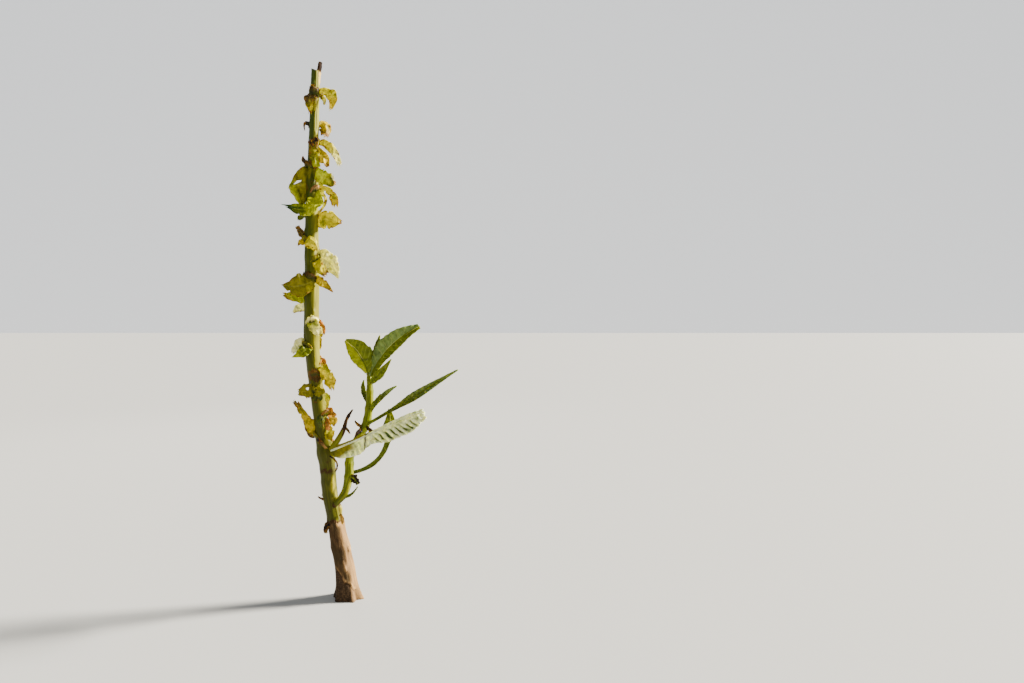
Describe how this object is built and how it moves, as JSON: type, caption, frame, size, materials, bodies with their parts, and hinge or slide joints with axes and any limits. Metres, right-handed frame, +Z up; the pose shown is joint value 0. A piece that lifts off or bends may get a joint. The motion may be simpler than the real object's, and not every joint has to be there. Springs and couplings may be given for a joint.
{
  "type": "tobacco plant",
  "caption": "Harvested, topped tobacco stalk: a leaning bare stem with torn yellow leaf bases and one leafy side shoot, cut flat at ground level.",
  "frame": {"origin": "centre of the flat cut under the stem, at ground level", "axes": "+Z up along the stem, +X to the right as the picture shows it, +Y away from its camera"},
  "size_m": [0.3589, 0.1093, 1.0994],
  "materials": {
    "stem": "smooth waxy green skin, tan and woody at the foot",
    "shoot": "smooth green",
    "dead_shoot": "withered, dark at its tip",
    "fresh_leaf": "soft matt leaf with a pale midrib",
    "pale_leaf": "soft pale leaf with dark creases",
    "withered_leaf": "dry and crumpled",
    "torn_leaf": "yellowing, papery, brown at its torn edges"
  },
  "bodies": {
    "root": {"stem": "stem", "side_shoot": "shoot", "dead_shoot": "dead_shoot", "shoot_leaf_left": "fresh_leaf", "shoot_leaf_centre": "fresh_leaf", "shoot_leaf_centre_right": "fresh_leaf", "shoot_leaf_right": "fresh_leaf", "shoot_leaf_low_right": "fresh_leaf", "shoot_leaf_back_left": "fresh_leaf", "shoot_leaf_back": "fresh_leaf", "shoot_leaf_slim": "fresh_leaf", "shoot_leaf_small": "fresh_leaf", "shoot_leaf_long": "fresh_leaf", "pale_leaf": "pale_leaf", "lower_leaf": "fresh_leaf", "foot_leaf": "fresh_leaf", "withered_leaf": "withered_leaf", "leaf_remnant_01": "torn_leaf", "leaf_remnant_02": "torn_leaf", "leaf_remnant_03": "torn_leaf", "leaf_remnant_04": "torn_leaf", "leaf_remnant_05": "torn_leaf", "leaf_remnant_06": "torn_leaf", "leaf_remnant_07": "torn_leaf", "leaf_remnant_08": "torn_leaf", "leaf_remnant_09": "torn_leaf", "leaf_remnant_10": "torn_leaf", "leaf_remnant_11": "torn_leaf", "leaf_remnant_12": "torn_leaf", "leaf_remnant_13": "torn_leaf", "leaf_remnant_14": "torn_leaf", "leaf_remnant_15": "torn_leaf", "leaf_remnant_16": "torn_leaf", "leaf_remnant_17": "torn_leaf", "leaf_remnant_18": "torn_leaf", "leaf_remnant_19": "torn_leaf", "leaf_remnant_20": "torn_leaf", "leaf_remnant_21": "torn_leaf", "leaf_remnant_22": "torn_leaf"}
  },
  "joints": []
}
